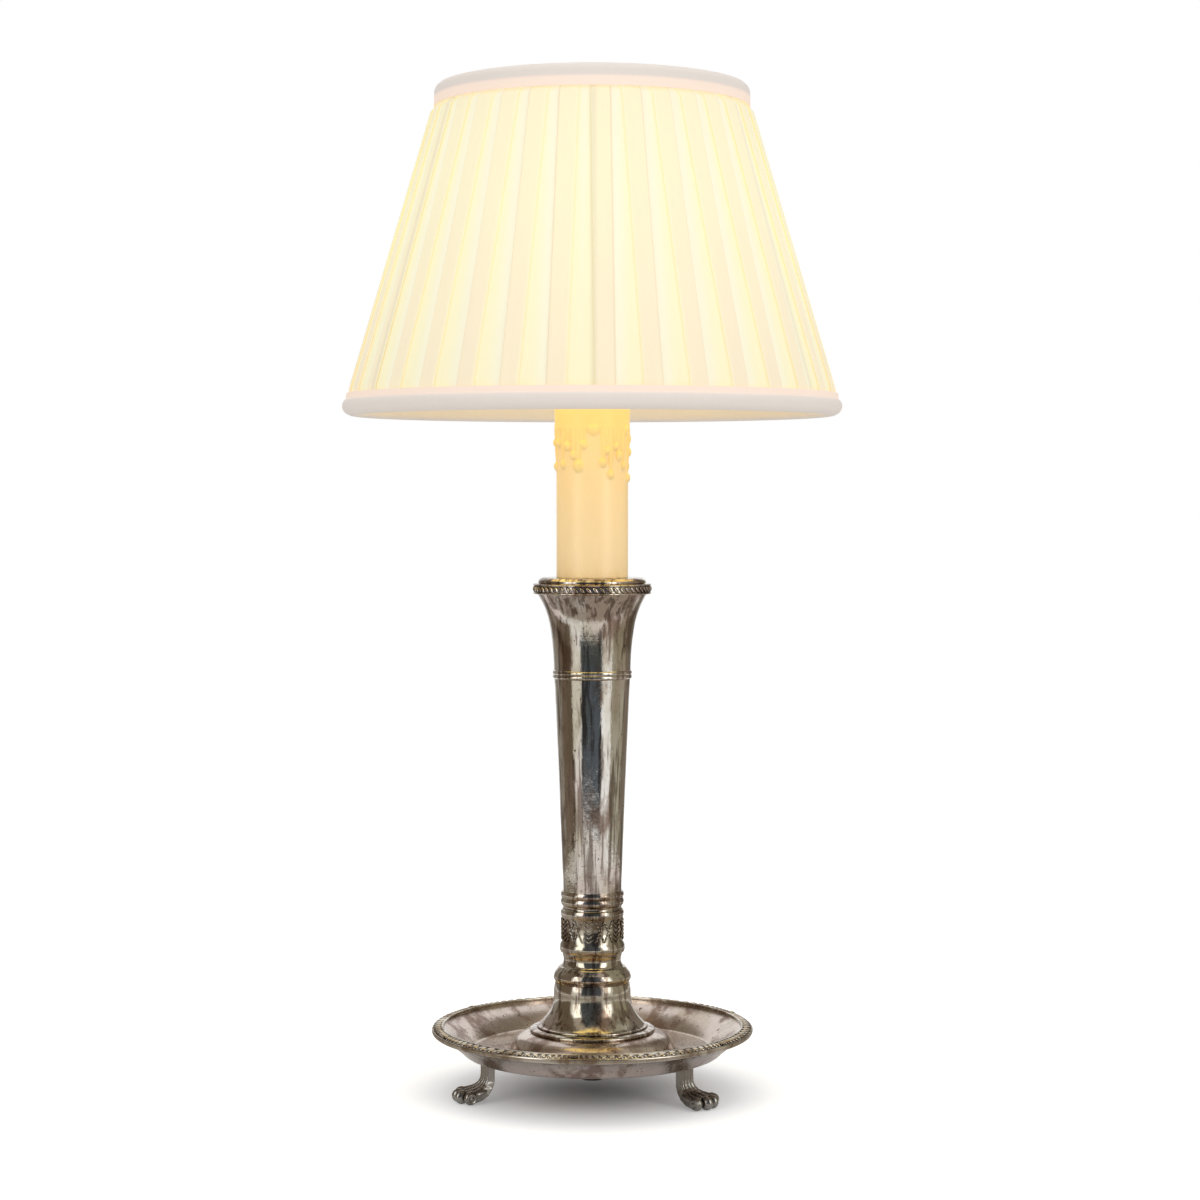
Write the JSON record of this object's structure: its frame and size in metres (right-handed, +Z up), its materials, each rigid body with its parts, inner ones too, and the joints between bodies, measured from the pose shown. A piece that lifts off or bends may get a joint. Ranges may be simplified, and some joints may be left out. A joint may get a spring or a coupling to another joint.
{
  "type": "candlestick lamp",
  "caption": "Candlestick table lamp: paw feet under a wide drip tray, bell-footed tapered column, waxed candle sleeve, screw-in bulb and a lift-off box-pleated cone shade on a wire carrier.",
  "frame": {"origin": "on the floor under the column's axis, at the level of the paws' soles", "axes": "+Z up along the column's axis, front is -Y between the two front feet, the back foot is on +Y"},
  "size_m": [0.2492, 0.2492, 0.503],
  "materials": {
    "silver_plate": "polished",
    "cast_iron": "matte",
    "steel": "satin",
    "bush": "satin",
    "candle": "satin",
    "phenolic": "gloss",
    "brass": "satin",
    "carrier_wire": "satin",
    "bulb_metal": "satin",
    "bulb_insulator": "gloss",
    "opal_glass": "gloss",
    "clear_glass": "gloss",
    "filament": "satin",
    "frame_wire": "satin",
    "shade_fabric": "matte",
    "lining_fabric": "matte",
    "trim_fabric": "matte"
  },
  "bodies": {
    "candlestick": {"paw_foot_left": "silver_plate", "paw_foot_right": "silver_plate", "paw_foot_back": "silver_plate", "tray": "silver_plate", "tray_rim_gadroon": "silver_plate", "base_weight": "cast_iron", "bottom_washer": "steel", "bottom_nut": "steel", "cord_bush": "bush", "central_tube": "steel", "bell_foot_ring": "silver_plate", "bell_foot": "silver_plate", "neck_knop": "silver_plate", "column_foot_collar": "silver_plate", "column_shell": "silver_plate", "cup_band": "silver_plate", "cup_shell": "silver_plate", "cup_rim_gadroon": "silver_plate", "nozzle_disc": "silver_plate", "nozzle_locknut": "steel", "lampholder_base": "phenolic", "lampholder_body": "phenolic", "screw_shell": "brass", "centre_contact": "brass", "shell_contact": "brass", "terminal_screws": "brass", "shade_ring_nut": "phenolic"},
    "candle": {"candle_sleeve": "candle"},
    "carrier": {"carrier_base_ring": "carrier_wire", "carrier_arms": "carrier_wire", "carrier_gallery_ring": "carrier_wire"},
    "shade": {"shade_top_ring": "frame_wire", "shade_bottom_ring": "frame_wire", "shade_struts": "frame_wire", "spider_ring": "frame_wire", "spider_arms": "frame_wire", "shade_cover": "shade_fabric", "shade_lining": "lining_fabric", "shade_top_trim": "trim_fabric", "shade_bottom_trim": "trim_fabric"},
    "bulb_tip": {"bulb_contact": "bulb_metal", "bulb_insulator": "bulb_insulator"},
    "bulb": {"bulb_cap": "bulb_metal", "bulb_glass": "opal_glass", "bulb_stem": "clear_glass", "bulb_filament": "filament"}
  },
  "joints": [
    {"name": "sleeve_turn", "type": "hinge", "parent": "candlestick", "child": "candle", "pos_m": [0, 0, 0.2588], "axis": [0, 0, 1], "continuous": true},
    {"name": "carrier_turn", "type": "hinge", "parent": "candlestick", "child": "carrier", "pos_m": [0, 0, 0.376], "axis": [0, 0, 1], "continuous": true},
    {"name": "shade_lift", "type": "slide", "parent": "carrier", "child": "shade", "axis": [0, 0, 1], "range_m": [0, 0.15]},
    {"name": "bulb_rise", "type": "slide", "parent": "candlestick", "child": "bulb_tip", "axis": [0, 0, 1], "range_m": [0, 0.0142]},
    {"name": "bulb_turn", "type": "hinge", "parent": "bulb_tip", "child": "bulb", "pos_m": [0, 0, 0.385], "axis": [0, 0, 1], "range_deg": [0, 1800]}
  ],
  "couplings": [
    {"joint": "bulb_rise", "follows": "bulb_turn", "m_per_rad": 0.00044882}
  ]
}
